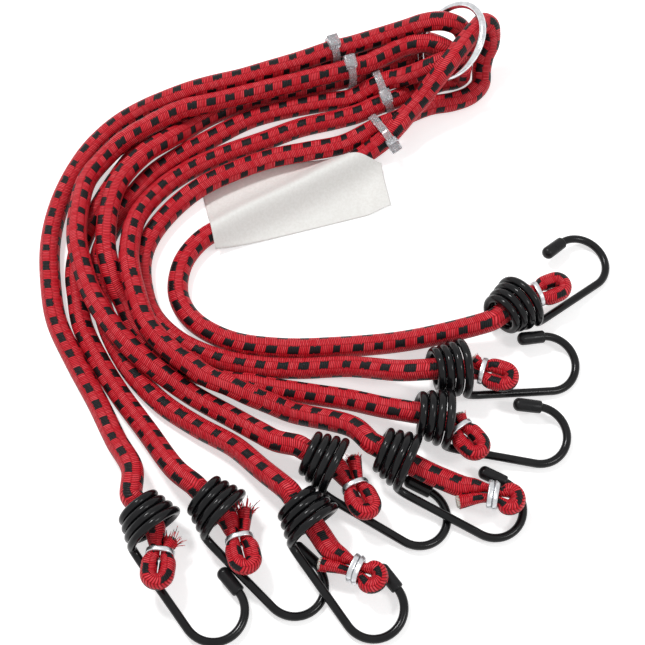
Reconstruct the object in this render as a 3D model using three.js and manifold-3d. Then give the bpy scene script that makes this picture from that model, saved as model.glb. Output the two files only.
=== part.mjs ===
// Ring-gathered bungee cord: four elastic cords doubled through a steel ring, with a wire hook on each
// of their eight ends. Lengths are in millimetres, angles in degrees, +Z is up and the table is at zero.
import * as THREE from "three";
import { mergeVertices } from "three/addons/utils/BufferGeometryUtils.js";
import Module from "manifold-3d";

const wasm = await Module();
wasm.setup();

// Cords
const cordDiameter = 8;
const cordSides = 8;
const cordSteps = 34;
const firstStepShare = 0.4;
const routeUnit = 1;
const routeLift = 0.3;
const turnRunOut = 1.5;

// Clearance between pieces that touch
const faceGap = 0.3;

// Gathering ring
const ringRadius = 16;
const ringWire = 3;
const ringSides = 8;
const ringSteps = 32;
const ringTilt = 43;
const ringLean = 9;

// Hook wire
const hookWire = 3.1;
const wireSides = 5;
const coilTurns = 3.75;
const coilSteps = 8;
const coilLength = 11.8;
const coilOuterDiameter = 23;
const coilBoreGap = 0.9;
const shankDrop = 3;
const shankRunIn = 6;
const runInShares = { first: 0.7, second: 0.5 };
const runInSteps = 4;
const hookReach = 44.5;
const bendRadius = 10.7;
const bendSteps = 12;
const tipLeg = 8;
const tipCloseShare = 0.06;

// Tip cap of plastic, pushed over the end of the wire
const capDiameter = 5;
const capLength = 10.5;
const capRound = 0.8;
const capDepth = 8.3;
const boreSagitta = 0.1;
const capSegments = 10;

// Folded cord end, its crimp and its rubber core
const legHalfWidth = 2.9;
const legHalfHeight = 3.3;
const pinchedHalfWidth = 1.6;
const pinchedHalfHeight = 2.5;
const pinchSpacing = 1.85;
const runInHalfWidth = 2.7;
const runInSpacing = 1.5;
const legRunIn = 5;
const foldSpacing = 3;
const foldReach = 13.6;
const foldSteps = 6;
const foldSides = 8;
const crimpSetback = 4.6;
const crimpWire = 1.5;
const crimpClearance = 0.35;
const crimpSteps = 6;
const crimpPitch = 2;
const cutHalfWidth = 2.7;
const cutHalfHeight = 2.9;
const coreRadius = 1.8;
const coreDepth = 2.6;
const coreStickOut = 0.7;
const crimpSide = new THREE.Vector3(1, 0, 0);

// Cable ties
const bandWidth = 3.2;
const bandThickness = 0.9;
const bandGap = 0.6;
const bandSegments = 6;
const headWidth = 5.2;
const headLength = 4.6;
const headHeight = 3.8;

// Paper tag
const tagThickness = 0.35;
const tagRise = 0.25;
const tagHump = 8.9;
const tagHumpWidth = 6.5;
const tagCurl = 3.5;
const tagCurlStartShare = 0.85;
const tagRouteSteps = 400;
const tagLengthSteps = 30;
const tagWidthSteps = 10;

const steel = { color: 0xb9bcc0, roughness: 0.32, metalness: 0.9 };
const braid = { color: 0xc4141a, roughness: 0.75, metalness: 0 };
const rubber = { color: 0xe9e4da, roughness: 0.8, metalness: 0 };
const blackCoat = { color: 0x101012, roughness: 0.25, metalness: 0 };
const blackPlastic = { color: 0x17181a, roughness: 0.4, metalness: 0 };
const clearPlastic = { color: 0xdfe6e8, roughness: 0.25, metalness: 0 };
const paper = { color: 0xe9e7e1, roughness: 0.7, metalness: 0 };

// Each arm's route, from the middle of its turn in the ring to its hook's coil, in route units
const routes = {
  1: [
    [45, 123, 20], [44, 124.5, 23], [41.5, 124.5, 24.5], [38, 119.5, 26], [33.5, 113.5, 26],
    [28.5, 105.5, 26.5], [24, 100, 24.5], [19.5, 96, 20], [15.5, 92, 16], [10.5, 87.5, 13],
    [5.5, 81.5, 11.5], [0.5, 77.5, 8], [-6.5, 73.5, 4.5], [-14, 68, 4], [-24, 62, 4], [-38, 53.5, 4],
    [-54, 44.5, 4], [-63.5, 38.5, 4], [-73, 31.5, 4], [-79.5, 21, 4], [-80.5, 7, 4], [-74.5, -4, 4],
    [-60.5, -12.7, 4], [-41, -16, 4], [-18.5, -15.5, 4], [4.4, -13.9, 5.3], [22.3, -12.3, 10],
  ],
  2: [
    [45, 123.5, 19.5], [45, 121, 15], [43, 118, 10.5], [42, 114, 7], [41.5, 108.5, 4.5], [37, 103, 4],
    [29.5, 99.5, 4], [20, 97.5, 4], [12.5, 93.8, 4.4], [5.5, 89, 5.4], [-3, 85, 5.4], [-16.5, 77.5, 4.5],
    [-31.5, 73.5, 5], [-46, 70, 5], [-60.5, 64, 5], [-73.5, 56.5, 5], [-84.5, 46.5, 4], [-92.5, 34, 4],
    [-95.5, 23, 4], [-94.5, 10.5, 4], [-90, -2, 4], [-79.5, -13, 4], [-64.5, -20.3, 4], [-48.5, -23.8, 4],
    [-33.5, -24.6, 4.2], [-14.6, -25.1, 6.8], [3.4, -29.4, 12.3],
  ],
  3: [
    [27.5, 118, 10.5], [26.5, 118, 7], [22.5, 119.5, 4.5], [16.5, 121.5, 4], [9, 120.5, 4], [2, 118, 4],
    [-5.5, 113.5, 4.6], [-13.5, 111, 5.4], [-20, 109.5, 4.6], [-34.5, 106, 4], [-49, 102.5, 4],
    [-63.5, 96.5, 4], [-73.5, 90.5, 4.5], [-80.5, 84.5, 5.5], [-87.5, 75.8, 10.2], [-96.5, 67, 12.5],
    [-105.5, 54, 12.5], [-108.5, 42, 12.5], [-109, 31.5, 12.5], [-108.5, 23, 12], [-106.5, 15, 11],
    [-104, 8, 8.5], [-100.5, 2, 5], [-96, -8.5, 4], [-88.5, -16.5, 4], [-80.5, -23, 4], [-70.5, -27, 4],
    [-59, -30.4, 4.3], [-52, -31, 4.5], [-44.5, -32.5, 4], [-29.5, -35.5, 5], [-14.6, -39.4, 8.1],
    [-2.4, -44.2, 12.2],
  ],
  4: [
    [33, 110, 10.5], [33, 110.5, 7], [30.5, 110.5, 4.5], [26, 110, 4], [20.5, 108, 4], [12.5, 104.8, 4],
    [6, 100.2, 5.2], [-2.5, 96.5, 5.4], [-10, 93, 4.6], [-18.5, 90.5, 4], [-34.5, 86, 4], [-49, 79.5, 4],
    [-64.5, 73, 4], [-78.5, 65, 4.5], [-90, 54, 6], [-98, 38.5, 9.5], [-99.5, 23, 12], [-98.5, 14, 14],
    [-96.5, 6, 13.5], [-90.5, -10, 13], [-80, -22, 12.5], [-73.5, -27, 12.5], [-67, -32, 12.5],
    [-59, -35.5, 12.5], [-51.5, -38.5, 10.5], [-44, -40.5, 7.5], [-36.5, -42.9, 5.4], [-13.8, -51.8, 11.8],
  ],
  5: [
    [27.5, 117.5, 11], [28, 117.5, 14.5], [25, 118, 16.5], [20, 119.5, 17], [15, 120, 16.5],
    [8.5, 119.5, 14.5], [1.5, 116.5, 13.5], [-6, 112, 13.5], [-13.5, 109, 13.9], [-20, 107.5, 13.2],
    [-34.5, 103.5, 12.5], [-51, 98.5, 12.5], [-67, 93.5, 12.5], [-83, 88, 13.5], [-97.5, 79.5, 12.5],
    [-105, 74.5, 11.5], [-112, 68.5, 9], [-119, 57, 9], [-120.5, 42.5, 11.5], [-120, 27, 12.5],
    [-117.5, 17, 12.5], [-113, 4.5, 12.5], [-107, -6, 12.5], [-97, -18.5, 12], [-85, -28.5, 9],
    [-73, -36, 5], [-57.8, -45.6, 6.4], [-47.3, -53.1, 9.8], [-41.6, -57.2, 12.2],
  ],
  6: [
    [33, 110, 11], [33, 109.5, 14.5], [30.5, 110, 17.5], [26, 109, 19], [20.5, 106.5, 19],
    [14.5, 106, 15.5], [8, 106, 12], [2.5, 105.8, 10.3], [-4.5, 104.2, 7.3], [-13.5, 100.8, 4.4],
    [-22.5, 99.5, 4], [-38.5, 96, 4], [-55, 90.5, 4], [-69.5, 81.5, 4], [-82.5, 72.5, 4], [-93.5, 63, 4],
    [-101.5, 51.5, 4], [-106.5, 41.5, 4], [-110, 33, 4], [-112, 24.5, 4], [-112, 16, 4], [-111, 7, 4],
    [-108.5, -1, 4], [-105.5, -9.5, 4], [-100, -20, 4], [-94.5, -28, 4], [-84, -39, 4], [-71, -48.1, 4.2],
    [-56.8, -57, 6.3], [-46.3, -67.6, 10.6],
  ],
  7: [
    [36, 123.5, 11], [34.5, 123, 7], [30.5, 125.5, 4.5], [25.5, 129.5, 4], [19, 132, 4], [11.5, 131, 4],
    [4, 129.5, 4], [-4.5, 126.5, 4], [-13.5, 123.5, 4.8], [-20.5, 120.5, 5.4], [-34.5, 116, 4.2],
    [-47, 112, 4], [-59.5, 107.5, 4], [-70, 103, 4], [-80.5, 96.5, 4], [-89, 89, 4], [-96, 80, 4],
    [-103.5, 69, 4], [-109.5, 57.5, 4], [-114, 47.5, 4], [-118, 37, 4], [-120.5, 27, 4], [-121, 16, 4],
    [-119.5, 7, 4], [-116.5, -6, 4], [-109, -21, 4], [-100.5, -34.5, 4], [-88.7, -50.8, 5.8],
    [-76.9, -68, 11.6],
  ],
  8: [
    [36, 123, 11.5], [35, 124.5, 15.5], [32, 126.5, 19.5], [27, 127, 22], [22, 127, 22.5],
    [16.5, 127.5, 20.5], [11, 128, 17], [3.5, 127.5, 14], [-5, 125, 13], [-13.5, 121.5, 13.4],
    [-20.5, 119, 13.9], [-34.5, 114, 12.7], [-47, 109.5, 12.5], [-59, 105, 12.5], [-69.5, 102, 12.5],
    [-79.5, 98.5, 12.5], [-91, 95.5, 9.5], [-99, 94, 6], [-107, 90, 4], [-114, 83, 4], [-121, 73, 4],
    [-127.5, 58, 4], [-131, 43.5, 4], [-132, 29, 4], [-130.5, 14, 4], [-126.5, -4, 4], [-118, -21, 4],
    [-107.9, -38.7, 4.4], [-99.6, -54.9, 7.1], [-92.3, -67.9, 11.4],
  ],
};

// The two arms of each cord
const cords = { 1: ["8", "7"], 2: ["5", "3"], 3: ["6", "4"], 4: ["2", "1"] };

// Where each cord comes out of its hook's coil, in route units, and how that hook lies: heading, roll and
// slope. foldStart says how far past the coil's wide end the cord is folded back, in cord diameters. Over
// bendRun it turns off the coil's axis and lifts over the shank. The tail has a length and a splay.
const ends = {
  1: {
    place: [50.2, 0.3], heading: 38, roll: 9, slope: 8.2,
    foldStart: 0.3, bendRun: 1.2, turn: -15, lift: 14, side: 1, tail: [0.5, 0],
  },
  2: {
    place: [26.9, -27.6], heading: 7, roll: 10, slope: 7.8,
    foldStart: 0.3, bendRun: 1.2, turn: -24, lift: 14, side: 1, tail: [0.5, 0],
  },
  3: {
    place: [20.6, -48.1], heading: -8, roll: 8, slope: 7,
    foldStart: 0.1, bendRun: 1.2, turn: -45, lift: 14, side: 1, tail: [0.5, 0],
  },
  4: {
    place: [5.8, -65.2], heading: -27, roll: 3, slope: 8,
    foldStart: 3.1, bendRun: 3.3, turn: 12, lift: 10, side: -1, tail: [1.1, 0.3],
  },
  5: {
    place: [-20.4, -66.9], heading: -29, roll: -3, slope: 8.7,
    foldStart: 0.7, bendRun: 1.2, turn: -38, lift: 14, side: 1, tail: [1.3, 0.2],
  },
  6: {
    place: [-27.8, -88.9], heading: -54, roll: 2, slope: 8,
    foldStart: 1.8, bendRun: 1.2, turn: 26, lift: 12, side: -1, tail: [1.2, 0.1],
  },
  7: {
    place: [-58.9, -84.9], heading: -44, roll: -3, slope: 8.6,
    foldStart: 0.7, bendRun: 1.2, turn: -32, lift: 16, side: 1, tail: [1.3, 0.2],
  },
  8: {
    place: [-82.7, -90.3], heading: -53, roll: -2, slope: 7,
    foldStart: 0.5, bendRun: 1.2, turn: -42, lift: 14, side: 1, tail: [0.6, 0],
  },
};
const crimpTurns = { 4: 2, 6: 2 };

// Ring centre, tie places and tag corners, in route units
const ringPlace = [28.1, 117.6, 21.2];
const ties = [
  { place: [-20.6, 119.2, 9], around: [8, 7], headSide: -1, headTurn: 0 },
  { place: [-13.6, 109.2, 9], around: [5, 3], headSide: -1, headTurn: 0 },
  { place: [1, 100, 7.5], around: [6, 4], headSide: 1, headTurn: 100 },
  { place: [-0.5, 82.5, 7.5], around: [2, 1], headSide: 1, headTurn: 0 },
];
const tagCorners = {
  farLeft: [-74.5, 59.5],
  farMiddle: [-36, 71.5],
  farRight: [-0.9, 69],
  nearLeft: [-67.1, 28.1],
  nearRight: [2.5, 48.4],
};

const radians = THREE.MathUtils.degToRad;
const up = new THREE.Vector3(0, 0, 1);
const wireRadius = hookWire / 2;
const coilWideRadius = (coilOuterDiameter - hookWire) / 2;
const coilNarrowRadius = cordDiameter / 2 + coilBoreGap + wireRadius;
const cordRadius = cordDiameter / 2;
const coilEntry = -coilLength - wireRadius;
const meshes = {};

function addMesh(name, geometry, look) {
  const mesh = new THREE.Mesh(geometry, new THREE.MeshStandardMaterial(look));
  mesh.name = name;
  meshes[name] = mesh;
  return mesh;
}

// A closed surface over rings of points, each ring with the same count. Ends are fans, unless it is a loop.
function skinRings(rings, isLoop) {
  const sides = rings[0].length;
  const points = rings.flat();
  const faces = [];
  const last = isLoop ? rings.length : rings.length - 1;
  for (let i = 0; i < last; i += 1) {
    const here = i * sides;
    const next = ((i + 1) % rings.length) * sides;
    for (let j = 0; j < sides; j += 1) {
      const k = (j + 1) % sides;
      faces.push(here + j, here + k, next + k, here + j, next + k, next + j);
    }
  }
  if (!isLoop) {
    const end = (rings.length - 1) * sides;
    for (let j = 1; j < sides - 1; j += 1) {
      faces.push(0, j + 1, j, end, end + j, end + j + 1);
    }
  }
  const geometry = new THREE.BufferGeometry().setFromPoints(points);
  geometry.setIndex(faces);
  geometry.computeVertexNormals();
  return geometry;
}

// Rings of a tube along points, carried without twist from the side direction given. A size is the ring's
// half width along that side and across it.
function tubeRings(points, sizeAt, sides, side) {
  const normal = side.clone();
  return points.map((point, i) => {
    const before = points[Math.max(i - 1, 0)];
    const after = points[Math.min(i + 1, points.length - 1)];
    const along = after.clone().sub(before).normalize();
    normal.addScaledVector(along, -normal.dot(along)).normalize();
    const other = along.clone().cross(normal);
    return Array.from({ length: sides }, (_, j) => {
      const turn = (2 * Math.PI * j) / sides;
      const size = sizeAt(i);
      return point
        .clone()
        .addScaledVector(normal, size.x * Math.cos(turn))
        .addScaledVector(other, size.y * Math.sin(turn));
    });
  });
}

function solidOf(geometry) {
  const bare = geometry.clone();
  bare.deleteAttribute("normal");
  bare.deleteAttribute("uv");
  const merged = mergeVertices(bare);
  const vertProperties = merged.getAttribute("position").array;
  const triVerts = new Uint32Array(merged.index.array);
  return new wasm.Manifold(new wasm.Mesh({ numProp: 3, vertProperties, triVerts }));
}

function join(first, second) {
  const result = solidOf(first).add(solidOf(second)).getMesh();
  const geometry = new THREE.BufferGeometry();
  geometry.setAttribute("position", new THREE.BufferAttribute(result.vertProperties, 3));
  geometry.setIndex(new THREE.BufferAttribute(result.triVerts, 1));
  geometry.computeVertexNormals();
  return geometry;
}

// Least distance between stretches of a wound wire that lie at least half a turn apart, less its diameter
function leastGap(points, stepsPerTurn, diameter) {
  let least = Infinity;
  points.forEach((point, i) => {
    points.slice(i + stepsPerTurn / 2).forEach((other, k, rest) => {
      if (k + 1 === rest.length) return;
      const span = new THREE.Line3(other, rest[k + 1]);
      const nearest = span.closestPointToPoint(point, true, new THREE.Vector3());
      least = Math.min(least, nearest.distanceTo(point));
    });
  });
  return least - diameter;
}

// Frame of one end: origin at the middle of the coil's wide end, x along the cord, y to the left of the hook
function endFrame(end) {
  const turn = new THREE.Matrix4().makeRotationZ(radians(end.heading));
  turn.multiply(new THREE.Matrix4().makeRotationY(radians(end.slope)));
  turn.multiply(new THREE.Matrix4().makeRotationX(radians(end.roll)));
  const [x, y] = end.place.map((value) => value * routeUnit);
  turn.setPosition(x, y, (coilOuterDiameter / 2) * Math.cos(radians(end.slope)));
  return turn;
}

function foldStart(end) {
  return end.foldStart * cordDiameter;
}

// A route through its points whose steps grow from the turn in the ring towards the hook
class CordRoute extends THREE.CatmullRomCurve3 {
  warp(share) {
    return share * (firstStepShare + (1 - firstStepShare) * share);
  }
  getPointAt(share, target) {
    return super.getPointAt(this.warp(share), target);
  }
  getTangentAt(share, target) {
    return super.getTangentAt(this.warp(share), target);
  }
}

// The two arms of a cord meet square, face to face, at the middle of its turn in the ring
function turnPoints(number) {
  const partner = Object.values(cords).find((pair) => pair.includes(number));
  const other = partner[0] === number ? partner[1] : partner[0];
  const [middle, opposite, ahead, behind] = [
    routes[number][0],
    routes[other][0],
    routes[number][1],
    routes[other][1],
  ].map(([x, y, z]) => new THREE.Vector3(x, y, z + routeLift / routeUnit).multiplyScalar(routeUnit));
  const along = ahead.clone().sub(behind).normalize();
  middle.add(opposite).divideScalar(2);
  const lengths = [faceGap / 2, faceGap / 2 + turnRunOut];
  return lengths.map((length) => middle.clone().addScaledVector(along, length));
}

function armRoute(number) {
  const points = routes[number].map(([x, y, z]) => {
    return new THREE.Vector3(x, y, z).multiplyScalar(routeUnit).add(new THREE.Vector3(0, 0, routeLift));
  });
  const [first, second] = turnPoints(number);
  points.splice(0, 1, first, second);
  const end = ends[number];
  const frame = endFrame(end);
  const onAxis = (x) => new THREE.Vector3(x, 0, 0).applyMatrix4(frame);
  points.push(onAxis(coilEntry - faceGap - turnRunOut), onAxis(coilEntry - faceGap));
  const route = new CordRoute(points, false, "centripetal");
  route.arcLengthDivisions = 20 * points.length;
  return route;
}

const armRoutes = {};
for (const number of Object.keys(routes)) {
  armRoutes[number] = armRoute(number);
}

// The cord arms, two to a cord, meeting at the middle of the turn through the ring
function makeArm(number) {
  const section = new THREE.Shape();
  for (let j = 0; j < cordSides; j += 1) {
    const turn = (2 * Math.PI * (j + 1 / 2)) / cordSides;
    const x = cordRadius * Math.cos(turn);
    const y = cordRadius * Math.sin(turn);
    if (j === 0) section.moveTo(x, y);
    else section.lineTo(x, y);
  }
  const geometry = new THREE.ExtrudeGeometry(section, { steps: cordSteps, extrudePath: armRoutes[number] });
  return addMesh(`cord_arm_${number}`, geometry, braid);
}

// The hook: conical coil around the cord, shank, bend and tip leg, all one wire
function coilPoints() {
  const points = [];
  const steps = Math.round(coilTurns * coilSteps);
  for (let i = 0; i <= steps; i += 1) {
    const share = i / steps;
    const turn = Math.PI - 2 * Math.PI * coilTurns * (1 - share);
    const radius = THREE.MathUtils.lerp(coilNarrowRadius, coilWideRadius, share);
    const x = -coilLength * (1 - share);
    points.push(new THREE.Vector3(x, radius * Math.cos(turn), radius * Math.sin(turn)));
  }
  return points;
}

function hookPath() {
  const points = coilPoints();
  const side = -coilWideRadius;
  const bendAt = hookReach - bendRadius;
  const runIn = new THREE.CubicBezierCurve3(
    points.at(-1),
    new THREE.Vector3(0, side, -shankDrop * runInShares.first),
    new THREE.Vector3(shankRunIn * runInShares.second, side, -shankDrop),
    new THREE.Vector3(shankRunIn, side, -shankDrop),
  );
  points.push(...runIn.getPoints(runInSteps).slice(1));
  for (let i = 0; i <= bendSteps; i += 1) {
    const turn = Math.PI * (i / bendSteps - 1 / 2);
    const x = bendAt + bendRadius * Math.cos(turn);
    const y = side + bendRadius * (1 + Math.sin(turn));
    points.push(new THREE.Vector3(x, y, -shankDrop));
  }
  points.push(points.at(-1).clone().addScaledVector(tipDirection(), tipLeg));
  return points;
}

function tipDirection() {
  return new THREE.Vector3(-1, -tipCloseShare, 0).normalize();
}

function makeHook(number, parent) {
  const points = hookPath();
  const size = new THREE.Vector2(wireRadius, wireRadius);
  const rings = tubeRings(points, () => size, wireSides, new THREE.Vector3(0, 1, 0));
  parent.add(addMesh(`hook_wire_${number}`, skinRings(rings, false), blackCoat));

  const boreRadius = wireRadius + faceGap + boreSagitta;
  const wall = capLength - capDepth;
  const profile = [
    [0, 0],
    [capDiameter / 2 - capRound, 0],
    [capDiameter / 2, capRound],
    [capDiameter / 2, capLength],
    [boreRadius, capLength],
    [boreRadius, wall],
    [0, wall],
  ].map(([x, y]) => new THREE.Vector2(x, y));
  const cap = addMesh(`tip_cap_${number}`, new THREE.LatheGeometry(profile, capSegments), blackPlastic);
  const direction = tipDirection();
  cap.position.copy(points.at(-1)).addScaledVector(direction, faceGap + wall);
  cap.quaternion.setFromUnitVectors(new THREE.Vector3(0, 1, 0), direction.negate());
  parent.add(cap);
}

// Along and across an arc of a given length once it has turned part of its whole angle
function arcReach(length, angle, share) {
  if (angle === 0) return [length * share, 0];
  const radius = length / angle;
  return [radius * Math.sin(angle * share), radius * (1 - Math.cos(angle * share))];
}

// Bends what is drawn straight along x: over the bend run it turns and lifts, and is straight after.
// The tail is drawn straight back from the crimp.
function bendOf(end) {
  const crimpAt = foldStart(end) + crimpSetback;
  const from = crimpAt - end.bendRun * cordDiameter;
  const turn = radians(end.turn);
  const lift = radians(end.lift);
  return (x, y, z, isTail = false) => {
    const share = isTail ? 1 : THREE.MathUtils.clamp((x - from) / (crimpAt - from), 0, 1);
    const [along, across] = arcReach(crimpAt - from, turn, share);
    const rise = arcReach(crimpAt - from, lift, share)[1];
    const past = isTail ? x - crimpAt : Math.max(x - crimpAt, 0);
    const heading = turn * share;
    const pitch = lift * share;
    const level = new THREE.Vector3(Math.cos(heading), Math.sin(heading), 0);
    const ahead = level.clone().multiplyScalar(Math.cos(pitch)).addScaledVector(up, Math.sin(pitch));
    const upward = level.clone().multiplyScalar(-Math.sin(pitch)).addScaledVector(up, Math.cos(pitch));
    return new THREE.Vector3(Math.min(x, from) + along, across, rise)
      .addScaledVector(ahead, past)
      .addScaledVector(up.clone().cross(level), y)
      .addScaledVector(upward, z);
  };
}

// The folded end: through the coil, round its fold and back beside itself to the cut, bored for the core
function foldPath(end, turns) {
  const start = foldStart(end);
  const crimpAt = start + crimpSetback;
  const pinchRun = crimpWire / 2 + (turns - 1) * turns * crimpPitch;
  const turnAt = crimpAt + foldReach - legHalfWidth - foldSpacing;
  const full = new THREE.Vector2(cordRadius, cordRadius);
  const runIn = new THREE.Vector2(legHalfHeight, runInHalfWidth);
  const pinched = new THREE.Vector2(pinchedHalfHeight, pinchedHalfWidth);
  const leg = new THREE.Vector2(legHalfHeight, legHalfWidth);
  const path = [
    { at: [coilEntry, 0], size: full },
    { at: [start - legRunIn, 0], size: full },
    { at: [start, -runInSpacing], size: runIn },
    { at: [crimpAt - crimpWire / 2, -pinchSpacing], size: pinched },
    { at: [crimpAt + pinchRun, -pinchSpacing], size: pinched },
    { at: [turnAt, -foldSpacing], size: leg },
  ];
  for (let i = 1; i < foldSteps; i += 1) {
    const turn = Math.PI * (i / foldSteps - 1 / 2);
    const x = turnAt + foldSpacing * Math.cos(turn);
    path.push({ at: [x, foldSpacing * Math.sin(turn)], size: leg });
  }
  path.push({ at: [turnAt, foldSpacing], size: leg });
  path.push({ at: [crimpAt + pinchRun, pinchSpacing], size: pinched });
  path.push({ at: [crimpAt - crimpWire / 2, pinchSpacing], size: pinched });
  const [length, splay] = end.tail.map((share) => share * cordDiameter);
  const cut = new THREE.Vector2(cutHalfHeight, cutHalfWidth);
  const cutAt = [crimpAt - length, cutHalfWidth + faceGap / 2 + splay];
  path.push({ at: cutAt, size: cut, isTail: true });
  const bend = bendOf(end);
  return path.map(({ at: [x, y], size, isTail }) => ({ point: bend(x, y * end.side, 0, isTail), size }));
}

function makeFold(number, end, parent) {
  const path = foldPath(end, crimpTurns[number] ?? 1);
  const points = path.map(({ point }) => point);
  const rings = tubeRings(points, (i) => path[i].size, foldSides, up);
  const cut = points.at(-1);
  const inward = points.at(-2).clone().sub(cut).normalize();
  const boreRadius = coreRadius + faceGap;
  const rim = rings.at(-1).map((point) => {
    return cut.clone().add(point.clone().sub(cut).setLength(boreRadius));
  });
  rings.push(rim, rim.map((point) => point.clone().addScaledVector(inward, coreDepth)));
  parent.add(addMesh(`cord_end_${number}`, skinRings(rings, false), braid));

  const length = coreDepth - faceGap + coreStickOut;
  const plug = new THREE.CylinderGeometry(coreRadius, coreRadius, length, foldSides);
  const core = addMesh(`rubber_core_${number}`, plug, rubber);
  core.quaternion.setFromUnitVectors(new THREE.Vector3(0, 1, 0), inward);
  core.position.copy(cut).addScaledVector(inward, length / 2 - coreStickOut);
  parent.add(core);
}

// The crimp: wire closed round both legs of the fold, one ring or two turns
function makeCrimp(number, end, parent) {
  const crimpAt = foldStart(end) + crimpSetback;
  const round = pinchedHalfHeight + crimpClearance + crimpWire / 2;
  const middle = pinchSpacing + pinchedHalfWidth - pinchedHalfHeight;
  const turns = crimpTurns[number] ?? 1;
  const lap = [];
  for (const half of [0, 1]) {
    for (let i = 0; i <= crimpSteps; i += 1) {
      const turn = Math.PI * (half + i / crimpSteps - 1 / 2);
      lap.push([(half === 0 ? middle : -middle) + round * Math.cos(turn), round * Math.sin(turn)]);
    }
  }
  const points = [];
  const total = turns === 1 ? lap.length : lap.length * turns + 1;
  for (let i = 0; i < total; i += 1) {
    const [y, z] = lap[i % lap.length];
    const x = turns === 1 ? 0 : (crimpPitch * i) / lap.length;
    points.push(new THREE.Vector3(x, y, z));
  }
  const isLoop = turns === 1;
  const size = new THREE.Vector2(crimpWire / 2, crimpWire / 2);
  const rings = isLoop ? loopRings(points) : tubeRings(points, () => size, wireSides, crimpSide);
  if (!isLoop) {
    const gap = leastGap(points, lap.length, crimpWire);
    console.log(`crimp ${number}: least gap ${gap.toFixed(2)}`);
  }
  const mesh = addMesh(`crimp_${number}`, skinRings(rings, isLoop), steel);
  const bend = bendOf(end);
  const origin = bend(crimpAt, 0, 0);
  const axes = [[1, 0, 0], [0, 1, 0], [0, 0, 1]].map(([x, y, z]) => {
    return bend(crimpAt + x, y, z, true).sub(origin);
  });
  mesh.applyMatrix4(new THREE.Matrix4().makeBasis(...axes).setPosition(origin));
  parent.add(mesh);
}

// Rings of a closed flat loop square to x
function loopRings(points) {
  return points.map((point, i) => {
    const before = points.at(i - 1);
    const after = points[(i + 1) % points.length];
    const along = after.clone().sub(before).normalize();
    const other = along.clone().cross(crimpSide);
    return Array.from({ length: wireSides }, (_, j) => {
      const turn = (2 * Math.PI * j) / wireSides;
      return point
        .clone()
        .addScaledVector(crimpSide, (crimpWire / 2) * Math.cos(turn))
        .addScaledVector(other, (crimpWire / 2) * Math.sin(turn));
    });
  });
}

function makeEnd(number) {
  const end = ends[number];
  const group = new THREE.Group();
  group.applyMatrix4(endFrame(end));
  const hook = new THREE.Group();
  makeHook(number, hook);
  makeFold(number, end, group);
  makeCrimp(number, end, group);
  group.add(hook);
  return group;
}

// The gathering ring, leaning on the cords
function makeRing() {
  const across = new THREE.Vector3(Math.cos(radians(ringTilt)), 0, Math.sin(radians(ringTilt)));
  const away = new THREE.Vector3(0, Math.cos(radians(ringLean)), Math.sin(radians(ringLean)));
  away.addScaledVector(across, -across.dot(away)).normalize();
  const torus = new THREE.TorusGeometry(ringRadius, ringWire / 2, ringSides, ringSteps);
  const ring = addMesh("ring", torus, steel);
  const basis = new THREE.Matrix4().makeBasis(across, away, across.clone().cross(away));
  ring.applyMatrix4(basis.setPosition(new THREE.Vector3(...ringPlace).multiplyScalar(routeUnit)));
  return ring;
}

function nearestOn(route, place) {
  const count = 40 * route.points.length;
  let best = { distance: Infinity };
  for (let i = 0; i <= count; i += 1) {
    const point = route.getPoint(i / count);
    const distance = point.distanceTo(place);
    if (distance < best.distance) best = { distance, point, along: route.getTangent(i / count) };
  }
  return best;
}

// A cable tie: a band drawn round two cords, with its square head at one end of the band
function makeTie(number, tie) {
  const place = new THREE.Vector3(...tie.place).multiplyScalar(routeUnit);
  const [first, second] = tie.around.map((arm) => nearestOn(armRoutes[arm], place));
  if (first.along.dot(second.along) < 0) second.along.negate();
  const along = first.along.clone().add(second.along).normalize();
  const across = second.point.clone().sub(first.point);
  across.addScaledVector(along, -across.dot(along));
  const half = across.length() / 2;
  across.normalize();
  const inner = cordRadius + bandGap;
  const outline = (path, radius) => {
    path.absarc(half, 0, radius, -Math.PI / 2, Math.PI / 2, false);
    path.absarc(-half, 0, radius, Math.PI / 2, (3 * Math.PI) / 2, false);
    path.closePath();
    return path;
  };
  const section = outline(new THREE.Shape(), inner + bandThickness);
  section.holes.push(outline(new THREE.Path(), inner));
  const band = new THREE.ExtrudeGeometry(section, {
    depth: bandWidth,
    bevelEnabled: false,
    curveSegments: bandSegments,
  });
  band.translate(0, 0, -bandWidth / 2);
  const head = new THREE.BoxGeometry(headHeight, headWidth, headLength);
  head.translate(inner + headHeight / 2, 0, 0).rotateZ(radians(tie.headTurn + (tie.headSide < 0 ? 180 : 0)));
  head.translate(tie.headSide * half, 0, 0);
  const mesh = addMesh(`cable_tie_${number}`, join(band, head), clearPlastic);
  const basis = new THREE.Matrix4().makeBasis(across, along.clone().cross(across), along);
  mesh.applyMatrix4(basis.setPosition(first.point.clone().add(second.point).divideScalar(2)));
  return mesh;
}

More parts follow.
